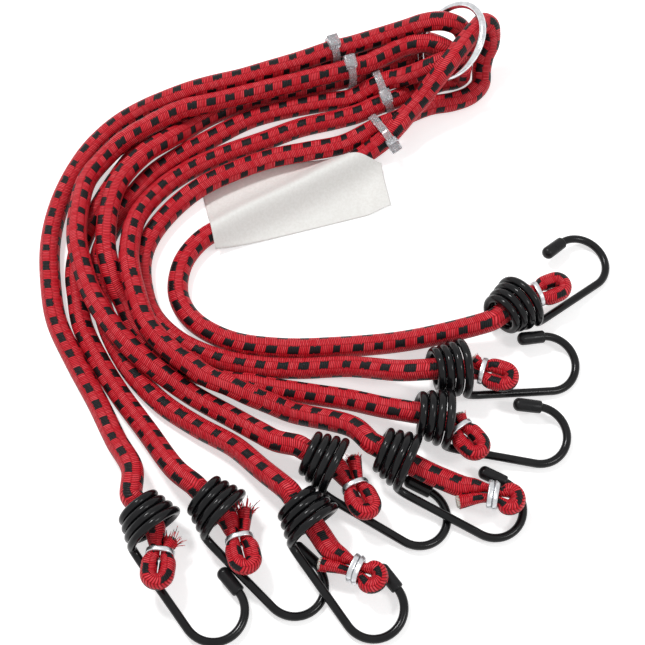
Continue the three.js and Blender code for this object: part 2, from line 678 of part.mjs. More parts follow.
// The paper tag: a sheet lying over one cord, its far edge under the next
function makeTag() {
  const [farLeft, farMiddle, farRight, nearLeft, nearRight] = [
    tagCorners.farLeft,
    tagCorners.farMiddle,
    tagCorners.farRight,
    tagCorners.nearLeft,
    tagCorners.nearRight,
  ].map(([x, y]) => new THREE.Vector3(x, y, 0).multiplyScalar(routeUnit));
  const far = new THREE.CatmullRomCurve3([farLeft, farMiddle, farRight]);
  const near = new THREE.LineCurve3(nearLeft, nearRight);
  const flatRoute = armRoutes[1].getPoints(tagRouteSteps).map((point) => point.setZ(0));
  const grid = [];
  for (let i = 0; i <= tagLengthSteps; i += 1) {
    for (let j = 0; j <= tagWidthSteps; j += 1) {
      const lengthShare = i / tagLengthSteps;
      const widthShare = j / tagWidthSteps;
      const point = near.getPoint(lengthShare).lerp(far.getPoint(lengthShare), widthShare);
      const distance = Math.min(...flatRoute.map((other) => other.distanceTo(point)));
      const curl = THREE.MathUtils.smoothstep(lengthShare, tagCurlStartShare, 1) * (1 - widthShare);
      point.z = tagRise + tagHump * Math.exp(-((distance / tagHumpWidth) ** 2)) + tagCurl * curl;
      grid.push(point);
    }
  }
  const lift = new THREE.Vector3(0, 0, tagThickness);
  const points = [...grid, ...grid.map((point) => point.clone().add(lift))];
  const upper = grid.length;
  const row = tagWidthSteps + 1;
  const faces = [];
  for (let i = 0; i < tagLengthSteps; i += 1) {
    for (let j = 0; j < tagWidthSteps; j += 1) {
      const a = i * row + j;
      const [b, c, d] = [a + row, a + row + 1, a + 1];
      faces.push(a, c, b, a, d, c);
      faces.push(upper + a, upper + b, upper + c, upper + a, upper + c, upper + d);
    }
  }
  const rim = [];
  for (let i = 0; i < tagLengthSteps; i += 1) rim.push(i * row);
  for (let j = 0; j < tagWidthSteps; j += 1) rim.push(tagLengthSteps * row + j);
  for (let i = tagLengthSteps; i > 0; i -= 1) rim.push(i * row + tagWidthSteps);
  for (let j = tagWidthSteps; j > 0; j -= 1) rim.push(j);
  rim.forEach((a, i) => {
    const b = rim[(i + 1) % rim.length];
    faces.push(a, b, upper + b, a, upper + b, upper + a);
  });
  const geometry = new THREE.BufferGeometry().setFromPoints(points);
  geometry.setIndex(faces);
  geometry.computeVertexNormals();
  return addMesh("tag", geometry, paper);
}

const group = new THREE.Group();
for (const number of Object.keys(routes)) {
  group.add(makeArm(number), makeEnd(number));
}
group.add(makeRing(), makeTag());
ties.forEach((tie, i) => group.add(makeTie(i + 1, tie)));

// The origin is under the middle of everything but the cord arms
group.updateMatrixWorld(true);
const bounds = new THREE.Box3();
for (const [name, mesh] of Object.entries(meshes)) {
  if (!name.startsWith("cord_arm")) bounds.expandByObject(mesh, true);
}
const middle = bounds.getCenter(new THREE.Vector3());
group.position.set(-middle.x, -middle.y, -bounds.min.z);
console.log(`shift ${group.position.toArray().map((value) => value.toFixed(3))}`);
console.log(`hook coil: least gap ${leastGap(coilPoints(), coilSteps, hookWire).toFixed(2)}`);

export default group;
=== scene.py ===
import math

import bmesh
import bpy
import numpy as np
from mathutils import Matrix, Vector


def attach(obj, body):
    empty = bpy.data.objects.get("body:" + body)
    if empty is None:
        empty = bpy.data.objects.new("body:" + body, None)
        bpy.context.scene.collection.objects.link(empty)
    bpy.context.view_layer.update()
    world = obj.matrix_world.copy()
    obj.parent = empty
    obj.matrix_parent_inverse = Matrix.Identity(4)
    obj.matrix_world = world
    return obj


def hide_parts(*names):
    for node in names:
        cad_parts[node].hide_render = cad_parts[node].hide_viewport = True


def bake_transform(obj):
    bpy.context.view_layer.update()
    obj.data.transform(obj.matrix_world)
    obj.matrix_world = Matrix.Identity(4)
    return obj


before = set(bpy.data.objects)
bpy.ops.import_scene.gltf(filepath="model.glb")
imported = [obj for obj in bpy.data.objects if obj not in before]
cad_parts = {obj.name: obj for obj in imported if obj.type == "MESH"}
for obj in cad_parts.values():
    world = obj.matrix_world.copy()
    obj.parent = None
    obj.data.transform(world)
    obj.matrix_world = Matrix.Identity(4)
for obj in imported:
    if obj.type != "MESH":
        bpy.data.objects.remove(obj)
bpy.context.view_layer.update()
mm = 0.001
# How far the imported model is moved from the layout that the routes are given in
layoutShift = np.array([3.999, -3.308, -0.067])
stretchedEnds = (1, 2, 3, 6, 8)

view = {
    "foot": (-21.001, -245.308), "height": 449.933, "tilt": 28, "sensor": 36,
    "focalPixels": 1325, "imagePixels": 645,
}


def linked(name, data):
    # A new object for a mesh, lamp or camera, in the scene
    made = bpy.data.objects.new(name, data)
    bpy.context.collection.objects.link(made)
    return made


eye = bpy.data.cameras.new("eye")
eye.sensor_width = view["sensor"]
eye.lens = view["sensor"] * view["focalPixels"] / view["imagePixels"]
eyeHolder = linked("eye", eye)
eyeHolder.location = [value * mm for value in (*view["foot"], view["height"])]
eyeHolder.rotation_euler = (math.radians(view["tilt"]), 0, 0)
bpy.context.scene.camera = eyeHolder
print("camera in place")

# Each arm's route from the middle of its turn in the ring to its hook's coil, in the layout
routes = {
    1: [
        [45, 123, 20], [44, 124.5, 23], [41.5, 124.5, 24.5], [38, 119.5, 26], [33.5, 113.5, 26],
        [28.5, 105.5, 26.5], [24, 100, 24.5], [19.5, 96, 20], [15.5, 92, 16], [10.5, 87.5, 13],
        [5.5, 81.5, 11.5], [0.5, 77.5, 8], [-6.5, 73.5, 4.5], [-14, 68, 4], [-24, 62, 4], [-38, 53.5, 4],
        [-54, 44.5, 4], [-63.5, 38.5, 4], [-73, 31.5, 4], [-79.5, 21, 4], [-80.5, 7, 4], [-74.5, -4, 4],
        [-60.5, -12.7, 4], [-41, -16, 4], [-18.5, -15.5, 4], [4.4, -13.9, 5.3], [22.3, -12.3, 10],
    ],
    2: [
        [45, 123.5, 19.5], [45, 121, 15], [43, 118, 10.5], [42, 114, 7], [41.5, 108.5, 4.5], [37, 103, 4],
        [29.5, 99.5, 4], [20, 97.5, 4], [12.5, 93.8, 4.4], [5.5, 89, 5.4], [-3, 85, 5.4], [-16.5, 77.5, 4.5],
        [-31.5, 73.5, 5], [-46, 70, 5], [-60.5, 64, 5], [-73.5, 56.5, 5], [-84.5, 46.5, 4], [-92.5, 34, 4],
        [-95.5, 23, 4], [-94.5, 10.5, 4], [-90, -2, 4], [-79.5, -13, 4], [-64.5, -20.3, 4], [-48.5, -23.8, 4],
        [-33.5, -24.6, 4.2], [-14.6, -25.1, 6.8], [3.4, -29.4, 12.3],
    ],
    3: [
        [27.5, 118, 10.5], [26.5, 118, 7], [22.5, 119.5, 4.5], [16.5, 121.5, 4], [9, 120.5, 4], [2, 118, 4],
        [-5.5, 113.5, 4.6], [-13.5, 111, 5.4], [-20, 109.5, 4.6], [-34.5, 106, 4], [-49, 102.5, 4],
        [-63.5, 96.5, 4], [-73.5, 90.5, 4.5], [-80.5, 84.5, 5.5], [-87.5, 75.8, 10.2], [-96.5, 67, 12.5],
        [-105.5, 54, 12.5], [-108.5, 42, 12.5], [-109, 31.5, 12.5], [-108.5, 23, 12], [-106.5, 15, 11],
        [-104, 8, 8.5], [-100.5, 2, 5], [-96, -8.5, 4], [-88.5, -16.5, 4], [-80.5, -23, 4], [-70.5, -27, 4],
        [-59, -30.4, 4.3], [-52, -31, 4.5], [-44.5, -32.5, 4], [-29.5, -35.5, 5], [-14.6, -39.4, 8.1],
        [-2.4, -44.2, 12.2],
    ],
    4: [
        [33, 110, 10.5], [33, 110.5, 7], [30.5, 110.5, 4.5], [26, 110, 4], [20.5, 108, 4], [12.5, 104.8, 4],
        [6, 100.2, 5.2], [-2.5, 96.5, 5.4], [-10, 93, 4.6], [-18.5, 90.5, 4], [-34.5, 86, 4], [-49, 79.5, 4],
        [-64.5, 73, 4], [-78.5, 65, 4.5], [-90, 54, 6], [-98, 38.5, 9.5], [-99.5, 23, 12], [-98.5, 14, 14],
        [-96.5, 6, 13.5], [-90.5, -10, 13], [-80, -22, 12.5], [-73.5, -27, 12.5], [-67, -32, 12.5],
        [-59, -35.5, 12.5], [-51.5, -38.5, 10.5], [-44, -40.5, 7.5], [-36.5, -42.9, 5.4],
        [-13.8, -51.8, 11.8],
    ],
    5: [
        [27.5, 117.5, 11], [28, 117.5, 14.5], [25, 118, 16.5], [20, 119.5, 17], [15, 120, 16.5],
        [8.5, 119.5, 14.5], [1.5, 116.5, 13.5], [-6, 112, 13.5], [-13.5, 109, 13.9], [-20, 107.5, 13.2],
        [-34.5, 103.5, 12.5], [-51, 98.5, 12.5], [-67, 93.5, 12.5], [-83, 88, 13.5], [-97.5, 79.5, 12.5],
        [-105, 74.5, 11.5], [-112, 68.5, 9], [-119, 57, 9], [-120.5, 42.5, 11.5], [-120, 27, 12.5],
        [-117.5, 17, 12.5], [-113, 4.5, 12.5], [-107, -6, 12.5], [-97, -18.5, 12], [-85, -28.5, 9],
        [-73, -36, 5], [-57.8, -45.6, 6.4], [-47.3, -53.1, 9.8], [-41.6, -57.2, 12.2],
    ],
    6: [
        [33, 110, 11], [33, 109.5, 14.5], [30.5, 110, 17.5], [26, 109, 19], [20.5, 106.5, 19],
        [14.5, 106, 15.5], [8, 106, 12], [2.5, 105.8, 10.3], [-4.5, 104.2, 7.3], [-13.5, 100.8, 4.4],
        [-22.5, 99.5, 4], [-38.5, 96, 4], [-55, 90.5, 4], [-69.5, 81.5, 4], [-82.5, 72.5, 4], [-93.5, 63, 4],
        [-101.5, 51.5, 4], [-106.5, 41.5, 4], [-110, 33, 4], [-112, 24.5, 4], [-112, 16, 4], [-111, 7, 4],
        [-108.5, -1, 4], [-105.5, -9.5, 4], [-100, -20, 4], [-94.5, -28, 4], [-84, -39, 4], [-71, -48.1, 4.2],
        [-56.8, -57, 6.3], [-46.3, -67.6, 10.6],
    ],
    7: [
        [36, 123.5, 11], [34.5, 123, 7], [30.5, 125.5, 4.5], [25.5, 129.5, 4], [19, 132, 4], [11.5, 131, 4],
        [4, 129.5, 4], [-4.5, 126.5, 4], [-13.5, 123.5, 4.8], [-20.5, 120.5, 5.4], [-34.5, 116, 4.2],
        [-47, 112, 4], [-59.5, 107.5, 4], [-70, 103, 4], [-80.5, 96.5, 4], [-89, 89, 4], [-96, 80, 4],
        [-103.5, 69, 4], [-109.5, 57.5, 4], [-114, 47.5, 4], [-118, 37, 4], [-120.5, 27, 4], [-121, 16, 4],
        [-119.5, 7, 4], [-116.5, -6, 4], [-109, -21, 4], [-100.5, -34.5, 4], [-88.7, -50.8, 5.8],
        [-76.9, -68, 11.6],
    ],
    8: [
        [36, 123, 11.5], [35, 124.5, 15.5], [32, 126.5, 19.5], [27, 127, 22], [22, 127, 22.5],
        [16.5, 127.5, 20.5], [11, 128, 17], [3.5, 127.5, 14], [-5, 125, 13], [-13.5, 121.5, 13.4],
        [-20.5, 119, 13.9], [-34.5, 114, 12.7], [-47, 109.5, 12.5], [-59, 105, 12.5], [-69.5, 102, 12.5],
        [-79.5, 98.5, 12.5], [-91, 95.5, 9.5], [-99, 94, 6], [-107, 90, 4], [-114, 83, 4], [-121, 73, 4],
        [-127.5, 58, 4], [-131, 43.5, 4], [-132, 29, 4], [-130.5, 14, 4], [-126.5, -4, 4], [-118, -21, 4],
        [-107.9, -38.7, 4.4], [-99.6, -54.9, 7.1], [-92.3, -67.9, 11.4],
    ],
}

# The two arms of each cord
cordPairs = ((8, 7), (5, 3), (6, 4), (2, 1))
# Where each hook's coil ends and how it lies: place, heading, roll and slope. The fold starts so far past
# the coil's wide end, turns off its axis and lifts over a run before the crimp, and comes back on one side.
# Its tail has a length and a splay.
ends = {
    1: {"place": (50.2, 0.3), "heading": 38, "roll": 9, "slope": 8.2, "side": 1,
        "foldStart": 2.4, "bendRun": 9.6, "turn": -15, "lift": 14, "tail": (4, 0)},
    2: {"place": (26.9, -27.6), "heading": 7, "roll": 10, "slope": 7.8, "side": 1,
        "foldStart": 2.4, "bendRun": 9.6, "turn": -24, "lift": 14, "tail": (4, 0)},
    3: {"place": (20.6, -48.1), "heading": -8, "roll": 8, "slope": 7, "side": 1,
        "foldStart": 0.8, "bendRun": 9.6, "turn": -45, "lift": 14, "tail": (4, 0)},
    4: {"place": (5.8, -65.2), "heading": -27, "roll": 3, "slope": 8, "side": -1,
        "foldStart": 24.8, "bendRun": 26.4, "turn": 12, "lift": 10, "tail": (8.8, 2.4)},
    5: {"place": (-20.4, -66.9), "heading": -29, "roll": -3, "slope": 8.7, "side": 1,
        "foldStart": 5.6, "bendRun": 9.6, "turn": -38, "lift": 14, "tail": (10.4, 1.6)},
    6: {"place": (-27.8, -88.9), "heading": -54, "roll": 2, "slope": 8, "side": -1,
        "foldStart": 14.4, "bendRun": 9.6, "turn": 26, "lift": 12, "tail": (9.6, 0.8)},
    7: {"place": (-58.9, -84.9), "heading": -44, "roll": -3, "slope": 8.6, "side": 1,
        "foldStart": 5.6, "bendRun": 9.6, "turn": -32, "lift": 16, "tail": (10.4, 1.6)},
    8: {"place": (-82.7, -90.3), "heading": -53, "roll": -2, "slope": 7, "side": 1,
        "foldStart": 4, "bendRun": 9.6, "turn": -42, "lift": 14, "tail": (4.8, 0)},
}
# The part of each sliding arm, in the layout: a heading and two reaches along it. The loop below only works
# out two points from them and leaves these arms out of the harness
followed = {
    1: {"heading": -60, "reach": (-28, 13)},
    2: {"heading": -60, "reach": (-20, 24)},
    3: {"heading": -60, "reach": (-30, 30)},
    6: {"heading": -53, "reach": (-25, 36)},
    8: {"heading": -53, "reach": (-16, 6)},
}
# Each cord's first row of marks is so far round it, under the lower number of its arms
cord = {
    "diameter": 8.0, "sides": 32, "step": 0.55, "spanSteps": 24, "sizeBlur": 0.7, "lift": 0.3,
    "runOut": 1.65, "coilGap": 1.8, "pitch": 8.1,
    "markRow": {1: 20, 3: 10, 4: 60, 7: 50},
}
# The hook's wire: a conical coil, a run on to the straight shank, the bend and a short leg, its nose rounded
coil = {
    "turns": 3.75, "length": 11.8, "wide": 9.95, "narrow": 6.45, "wire": 3.1, "stepsPerTurn": 36,
    "drop": 3.0, "dropShare": 0.7, "runIn": 6.0, "runInShare": 0.5, "runInSteps": 8, "shankSteps": 13,
    "reach": 44.5, "bend": 10.7, "bendSteps": 40, "leg": 8.0, "legSteps": 5, "close": 0.06,
    "sides": 16, "noseSteps": 6, "noseLeast": 0.12,
}
# Half widths and half heights of the folded cord, and where its two legs run
fold = {
    "leg": (2.9, 3.3), "pinched": (1.6, 2.5), "runInSize": (2.7, 3.3), "cut": (2.7, 2.9),
    "pinchSpacing": 1.85, "runInSpacing": 1.5, "runIn": 5.0, "runInStep": 5, "spacing": 3.0,
    "spreadRun": 2.2, "spreadEase": 0.1, "reach": 13.6, "setback": 4.6, "gap": 0.15, "arcSteps": 10,
}
# Two of the crimps have two turns
crimp = {
    "wire": 1.5, "pitch": 2.0, "turns": {4: 2, 6: 2}, "overlap": 2, "steps": 14, "width": 1.9,
    "thickness": 1.3, "gap": 0.3, "edgePower": 4, "sectionSides": 20,
}
upright = np.array([0, 0, 1.0])


def unit(direction):
    return direction / np.linalg.norm(direction, axis=-1, keepdims=True)


def partnerOf(number):
    # The other arm of the same cord
    return next(b if a == number else a for a, b in cordPairs if number in (a, b))


def smoothed(values, spread, spacing):
    # Gaussian average along a line, ends held by repeating them
    reach = max(1, int(3 * spread / spacing))
    weights = np.exp(-0.5 * (np.arange(-reach, reach + 1) * spacing / spread) ** 2)
    weights /= weights.sum()
    padded = np.concatenate([np.repeat(values[:1], reach, 0), values, np.repeat(values[-1:], reach, 0)])
    return np.stack([np.convolve(padded[:, k], weights, "valid") for k in range(values.shape[1])], 1)


def splineThrough(points, perSpan):
    # Centripetal Catmull-Rom curve through the points, as the model's routes are drawn
    points = np.asarray(points, float)
    padded = np.vstack([2 * points[0] - points[1], points, 2 * points[-1] - points[-2]])
    spans = np.maximum(np.linalg.norm(np.diff(padded, axis=0), axis=1), 1e-6) ** 0.5
    shares = np.linspace(0, 1, perSpan, endpoint=False)[:, None]
    line = []
    for i in range(1, len(padded) - 2):
        a, b, c, d = padded[i - 1 : i + 3]
        before, here, after = spans[i - 1 : i + 2]
        start = ((b - a) / before - (c - a) / (before + here) + (c - b) / here) * here
        finish = ((c - b) / here - (d - b) / (here + after) + (d - c) / after) * here
        t = shares
        squared, cubed = 3 * (c - b) - 2 * start - finish, 2 * (b - c) + start + finish
        line.append(b + start * t + squared * t**2 + cubed * t**3)
    return np.vstack([*line, points[-1:]])


def endMatrix(number):
    # How an end's frame is turned, and where its origin lies in the layout
    end = ends[number]
    turn = Matrix.Identity(3)
    for angle, axis in (("heading", "Z"), ("slope", "Y"), ("roll", "X")):
        turn = turn @ Matrix.Rotation(math.radians(end[angle]), 3, axis)
    height = (coil["wide"] + coil["wire"] / 2) * math.cos(math.radians(end["slope"]))
    return np.array(turn), np.array([*end["place"], height])


def fromEnd(number, points):
    turn, place = endMatrix(number)
    return np.asarray(points, float) @ turn.T + place


def arcReach(length, angle, share):
    # Along and across an arc of a given length once it has turned part of its whole angle
    if angle == 0:
        return length * share, 0.0
    radius = length / angle
    return radius * math.sin(angle * share), radius * (1 - math.cos(angle * share))


def bent(number, spot, isTail=False):
    # Bends what is drawn straight along x in an end's frame: it turns and lifts over the run before the
    # crimp
    end = ends[number]
    x, y, z = spot
    crimpAt = end["foldStart"] + fold["setback"]
    start = crimpAt - end["bendRun"]
    turn, lift = math.radians(end["turn"]), math.radians(end["lift"])
    share = 1.0 if isTail else min(max((x - start) / end["bendRun"], 0.0), 1.0)
    along, across = arcReach(end["bendRun"], turn, share)
    rise = arcReach(end["bendRun"], lift, share)[1]
    past = x - crimpAt if isTail else max(x - crimpAt, 0.0)
    heading, pitch = turn * share, lift * share
    level = np.array([math.cos(heading), math.sin(heading), 0])
    left = np.array([-math.sin(heading), math.cos(heading), 0])
    ahead = level * math.cos(pitch) + upright * math.sin(pitch)
    upward = upright * math.cos(pitch) - level * math.sin(pitch)
    base = np.array([(start if isTail else min(x, start)) + along, across, rise])
    return base + ahead * past + left * y + upward * z


def foldLine(number):
    # Through the coil, round the fold and back beside itself to the cut: points in the end's frame and
    # half sizes
    end = ends[number]
    start = end["foldStart"]
    crimpAt = start + fold["setback"]
    turns = crimp["turns"].get(number, 1)
    pinchRun = crimp["wire"] / 2 + (turns - 1) * turns * crimp["pitch"]
    turnAt = crimpAt + fold["reach"] - fold["leg"][0] - fold["spacing"]
    full = (cord["diameter"] / 2, cord["diameter"] / 2)
    entry = -coil["length"] - coil["wire"] / 2
    free = start - fold["runIn"] - entry
    count = max(2, round(free / fold["runInStep"]))
    spreadAt = crimpAt + pinchRun + fold["spreadRun"]
    spread = fold["spacing"] - fold["spreadEase"]
    line = [(entry + free * share, 0, full) for share in np.linspace(0, 1, count)]
    line += [
        (start, -fold["runInSpacing"], fold["runInSize"]),
        (crimpAt - crimp["wire"] / 2, -fold["pinchSpacing"], fold["pinched"]),
        (crimpAt + pinchRun, -fold["pinchSpacing"], fold["pinched"]),
        (spreadAt, -spread, fold["leg"]),
        (turnAt, -fold["spacing"], fold["leg"]),
    ]
    for i in range(1, fold["arcSteps"]):
        angle = math.pi * (i / fold["arcSteps"] - 0.5)
        along, across = fold["spacing"] * math.cos(angle), fold["spacing"] * math.sin(angle)
        line.append((turnAt + along, across, fold["leg"]))
    line += [
        (turnAt, fold["spacing"], fold["leg"]),
        (spreadAt, spread, fold["leg"]),
        (crimpAt + pinchRun, fold["pinchSpacing"], fold["pinched"]),
        (crimpAt - crimp["wire"] / 2, fold["pinchSpacing"], fold["pinched"]),
    ]
    points = [bent(number, (x, y * end["side"], 0)) for x, y, size in line]
    sizes = [size for x, y, size in line]
    length, splay = end["tail"]
    aside = (fold["cut"][0] + fold["gap"] + splay) * end["side"]
    points.append(bent(number, (crimpAt - length, aside, 0), True))
    sizes.append(fold["cut"])
    return np.array(points), np.array(sizes)


def cordLine(number):
    # Centre line and half sizes of one arm and its folded end, in the layout
    lift = np.array([0, 0, cord["lift"]])
    mine, other = (np.array(routes[k], float) + lift for k in (number, partnerOf(number)))
    middle = (mine[0] + other[0]) / 2
    points = [middle, middle + unit(mine[1] - other[1]) * cord["runOut"], *mine[1:]]
    entry = -coil["length"] - coil["wire"] / 2
    points.append(fromEnd(number, [[entry - cord["coilGap"], 0, 0]])[0])
    foldPoints, foldSizes = foldLine(number)
    sizes = np.vstack([np.full((len(points), 2), cord["diameter"] / 2), foldSizes])
    points = np.vstack([points, fromEnd(number, foldPoints)])
    fine = splineThrough(points, cord["spanSteps"])
    spans, knots = np.arange(len(fine)) / cord["spanSteps"], np.arange(len(sizes))
    fineSizes = np.column_stack([np.interp(spans, knots, sizes[:, k]) for k in range(2)])
    run = np.concatenate([[0], np.cumsum(np.linalg.norm(np.diff(fine, axis=0), axis=1))])
    count = int(run[-1] / cord["step"]) + 1
    even = np.linspace(0, run[-1], count)
    line = np.column_stack([np.interp(even, run, fine[:, k]) for k in range(3)])
    size = np.column_stack([np.interp(even, run, fineSizes[:, k]) for k in range(2)])
    return line, smoothed(size, cord["sizeBlur"], even[1]), even


def tangentsOf(line, isLoop=False):
    if isLoop:
        along = np.roll(line, -1, 0) - np.roll(line, 1, 0)
    else:
        along = np.gradient(line, axis=0)
    return unit(along)


def carried(line, side, isLoop=False):
    # Two directions square to the line at each point, carried along it without twist from one side
    along = tangentsOf(line, isLoop)
    normals = np.empty_like(line)
    normal = np.asarray(side, float)
    for i, tangent in enumerate(along):
        normal = unit(normal - tangent * normal.dot(tangent))
        normals[i] = normal
    return normals, np.cross(along, normals)


def sweep(line, side, section, isLoop=False):
    # Rings of a section's points, given across and up, one section for all or one for each point
    normals, others = carried(line, side, isLoop)
    section = np.broadcast_to(section, (len(line), *np.shape(section)[-2:]))
    return line[:, None] + section[..., :1] * normals[:, None] + section[..., 1:] * others[:, None]


def circle(sides, start=0.0):
    angle = 2 * math.pi * np.arange(sides) / sides + start
    return np.column_stack([np.cos(angle), np.sin(angle)])


def stadium(half, radius, steps):
    # Two half circles, each so far from the middle
    loop = []
    for part, centre in ((0, half), (1, -half)):
        for i in range(steps):
            angle = math.pi * (part + i / (steps - 1) - 0.5)
            loop.append((centre + radius * math.cos(angle), radius * math.sin(angle)))
    return np.array(loop)


def roundedBar(rule):
    # A bar's section with rounded edges
    points = circle(rule["sectionSides"], math.pi / rule["sectionSides"])
    size = (rule["width"] / 2, rule["thickness"] / 2)
    return np.sign(points) * np.abs(points) ** (2 / rule["edgePower"]) * size


def skin(name, rings, isLoop=False, alongs=None, isMirrored=False, turn=0.0):
    # A closed surface over rings of points in the layout, with the way along and around as its UV map
    count, sides = rings.shape[:2]
    points = (rings.reshape(-1, 3) + layoutShift) * mm
    faces = []
    around = []
    lengths = np.arange(count + 1, dtype=float) if alongs is None else alongs
    for i in range(count if isLoop else count - 1):
        here, after = i * sides, ((i + 1) % count) * sides
        for j in range(sides):
            k = (j + 1) % sides
            faces.append((here + j, here + k, after + k, after + j))
            around.append(((i, j), (i, j + 1), (i + 1, j + 1), (i + 1, j)))
    if not isLoop:
        last = (count - 1) * sides
        faces.append(tuple(range(sides))[::-1])
        around.append([(0, j) for j in range(sides)][::-1])
        faces.append(tuple(range(last, last + sides)))
        around.append([(count - 1, j) for j in range(sides)])
    mesh = bpy.data.meshes.new(name)
    mesh.from_pydata(points.tolist(), [], faces)
    sign = -1 if isMirrored else 1
    spots = np.array([spot for face in around for spot in face], float)
    rows = spots[:, 0].astype(int)
    uv = np.column_stack([sign * lengths[rows], sign * (spots[:, 1] / sides) + turn])
    mesh.uv_layers.new(name="run").data.foreach_set("uv", uv.astype(np.float32).ravel())
    mesh.shade_smooth()
    return addPiece(name, mesh)


def addPiece(name, mesh):
    # A piece whose faces point outwards
    piece = linked(name, mesh)
    facing = bmesh.new()
    facing.from_mesh(mesh)
    if facing.calc_volume(signed=True) < 0:
        bmesh.ops.reverse_faces(facing, faces=facing.faces)
        facing.to_mesh(mesh)
    facing.free()
    return piece


def dress(piece, finish, body=None):
    piece.data.materials.clear()
    piece.data.materials.append(finish)
    if body:
        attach(piece, body)
    return piece


# Node trees
class Tree:
    def __init__(self, tree):
        self.tree = tree
        self.tree.nodes.clear()

    def node(self, kind, settings=None, inputs=None):
        # Any node: its type, its settings, then the values or links of its sockets
        made = self.tree.nodes.new(kind)
        for key, value in (settings or {}).items():
            setattr(made, key, value)
        for key, value in (inputs or {}).items():
            if isinstance(value, Value):
                self.tree.links.new(value.socket, made.inputs[key])
            else:
                made.inputs[key].default_value = value
        return made

    def value(self, kind, settings=None, inputs=None, output=0):
        return Value(self, self.node(kind, settings, inputs).outputs[output])

    def mix(self, share, first, second):
        inputs = {0: share, 6: first, 7: second}
        return self.value("ShaderNodeMix", {"data_type": "RGBA"}, inputs, 2)


# A socket that can stand in a sum: an expression on such values adds its Math nodes
class Value:
    def __init__(self, tree, socket):
        self.tree = tree
        self.socket = socket

    def math(self, operation, *others):
        inputs = dict(enumerate((self, *others)))
        return self.tree.value("ShaderNodeMath", {"operation": operation}, inputs)

    def __add__(self, other):
        return self.math("ADD", other)

    __radd__ = __add__

    def __sub__(self, other):
        return self.math("SUBTRACT", other)

    def __rsub__(self, other):
        return self.math("MULTIPLY_ADD", -1.0, other)

    def __mul__(self, other):
        return self.math("MULTIPLY", other)

    __rmul__ = __mul__

    def __truediv__(self, other):
        return self.math("DIVIDE", other)

    def __gt__(self, other):
        return self.math("GREATER_THAN", other)

    def __lt__(self, other):
        return self.math("LESS_THAN", other)

    def floor(self):
        return self.math("FLOOR")

    def part(self):
        return self.math("FRACT")

    def magnitude(self):
        return self.math("ABSOLUTE")

    def raised(self, power):
        return self.math("POWER", power)

    def within(self, low, high, start=0.0, finish=1.0):
        inputs = {0: self, 1: low, 2: high, 3: start, 4: finish}
        return self.tree.value("ShaderNodeMapRange", {"interpolation_type": "SMOOTHSTEP"}, inputs)


class Finish(Tree):
    def __init__(self, name):
        self.material = bpy.data.materials.new(name)
        self.material.use_nodes = True
        super().__init__(self.material.node_tree)
        self.end = self.node("ShaderNodeOutputMaterial")

    def noise(self, place, scale, detail, roughness=0.5):
        inputs = {"Vector": place, "Scale": scale, "Detail": detail, "Roughness": roughness}
        return self.value("ShaderNodeTexNoise", None, inputs)

    def bumped(self, height, distance, strength):
        inputs = {"Strength": strength, "Distance": distance, "Height": height}
        return self.value("ShaderNodeBump", None, inputs)

    def objectPlace(self):
        return self.value("ShaderNodeTexCoord", None, None, 3)

    def surface(self, **inputs):
        named = {key.replace("_", " "): value for key, value in inputs.items()}
        shader = self.node("ShaderNodeBsdfPrincipled", None, named)
        self.tree.links.new(shader.outputs[0], self.end.inputs[0])
        return self.material


# Columns of slanting ribs round the cord and rows of marks along it. A noise has a scale, a detail and a
# roughness, a relief has a depth in metres and a strength.
braid = {
    "columns": 8, "ribs": 12, "slant": 0.9, "ribPower": 2.0, "sidePower": 6.0, "sideDepth": 0.5,
    "markRows": 4, "rowStart": 0.0625, "markHalf": 0.19, "markJitter": 0.06, "rowHalf": 0.19,
    "rowJitter": 0.08, "red": (0.66, 0.006, 0.020), "pale": (0.90, 0.10, 0.12),
    "grooveShade": (0.20, 0.001, 0.004), "black": (0.006, 0.005, 0.006), "grooveShadeRange": (0.1, 0.8),
    "highlightCrest": (0.5, 1.0), "ribShine": (0.1, 0.9, 0.2, 0.9), "patch": (1.6, 3.0),
    "patchShine": (0.35, 0.65, 0.6, 1.0), "unevenness": 0.2, "relief": (0.00022, 0.9),
    "roughness": 0.5, "crownGloss": 0.12, "specular": 0.2,
}
threadLook = {"tone": (420.0, 2.0), "blackAbove": 0.56, "roughness": 0.55, "specular": 0.35}
paperLook = {
    "fibre": (900.0, 4.0, 0.6), "waves": (38.0, 2.0), "waveDepth": 3.0, "fibreDepth": 0.08,
    "relief": (0.0008, 0.35), "toneRange": (0.3, 0.7), "dark": (0.80, 0.79, 0.76),
    "pale": (0.86, 0.855, 0.83), "roughness": 0.55, "specular": 0.35,
}


